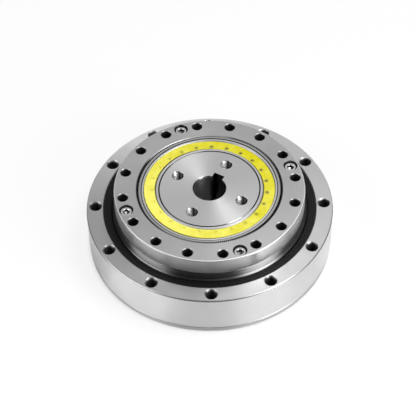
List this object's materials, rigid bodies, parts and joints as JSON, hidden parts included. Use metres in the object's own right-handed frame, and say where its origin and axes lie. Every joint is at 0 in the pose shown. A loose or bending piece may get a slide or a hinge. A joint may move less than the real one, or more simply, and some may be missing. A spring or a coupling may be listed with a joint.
{
  "type": "strain wave gear unit",
  "caption": "Hat-type strain wave gear unit with a plug-in oval wave generator, toothed output ring and crossed-roller output bearing.",
  "frame": {"origin": "on the common axis, at the mounting face of the flexspline's flange (the lowest point)", "axes": "+Z along the common axis of input and output, from the mounting face towards the output face"},
  "size_m": [0.11, 0.11, 0.0324],
  "materials": {
    "ring_steel": "turned and ground, satin",
    "flex_steel": "fine turned alloy steel",
    "seal_rubber": "moulded, matt with a slight sheen",
    "seal_core": "pressed sheet",
    "cord_rubber": "smooth cord",
    "dark_screw": "black oxide",
    "bright_screw": "bright plated",
    "spline_iron": "turned nodular iron, satin",
    "inner_steel": "ground",
    "roller_steel": "ground and polished",
    "spacer_nylon": "natural moulded plastic",
    "plug_steel": "faced on a lathe",
    "race_steel": "ground",
    "cage_nylon": "yellow moulded plastic",
    "ball_steel": "polished"
  },
  "bodies": {
    "housing": {"outer_ring": "ring_steel", "flexspline": "flex_steel", "oil_seal": "seal_rubber", "seal_insert": "seal_core", "flange_o_ring": "cord_rubber", "filling_plug": "ring_steel", "plug_pin": "dark_screw", "flange_screws": "dark_screw"},
    "output": {"circular_spline": "spline_iron", "inner_ring": "inner_steel", "spline_screws": "bright_screw", "spline_o_ring": "cord_rubber"},
    "roller_train": {"rollers_up": "roller_steel", "rollers_down": "roller_steel", "roller_spacers": "spacer_nylon"},
    "wave_generator": {"wave_plug": "plug_steel", "inner_race": "race_steel", "outer_race": "race_steel"},
    "ball_train": {"ball_cage": "cage_nylon", "balls": "ball_steel"}
  },
  "joints": [
    {"name": "wave_generator_spin", "type": "hinge", "parent": "housing", "child": "wave_generator", "pos_m": [0, 0, 0], "axis": [0, 0, 1], "continuous": true, "deforming": ["flexspline", "balls"]},
    {"name": "output_spin", "type": "hinge", "parent": "housing", "child": "output", "pos_m": [0, 0, 0], "axis": [0, 0, 1], "continuous": true},
    {"name": "ball_train_spin", "type": "hinge", "parent": "housing", "child": "ball_train", "pos_m": [0, 0, 0], "axis": [0, 0, 1], "continuous": true},
    {"name": "roller_train_spin", "type": "hinge", "parent": "housing", "child": "roller_train", "pos_m": [0, 0, 0], "axis": [0, 0, 1], "continuous": true}
  ],
  "couplings": [
    {"joint": "output_spin", "follows": "wave_generator_spin", "ratio": 0.0082645},
    {"joint": "ball_train_spin", "follows": "wave_generator_spin", "ratio": 0.4435},
    {"joint": "roller_train_spin", "follows": "wave_generator_spin", "ratio": 0.003964}
  ]
}
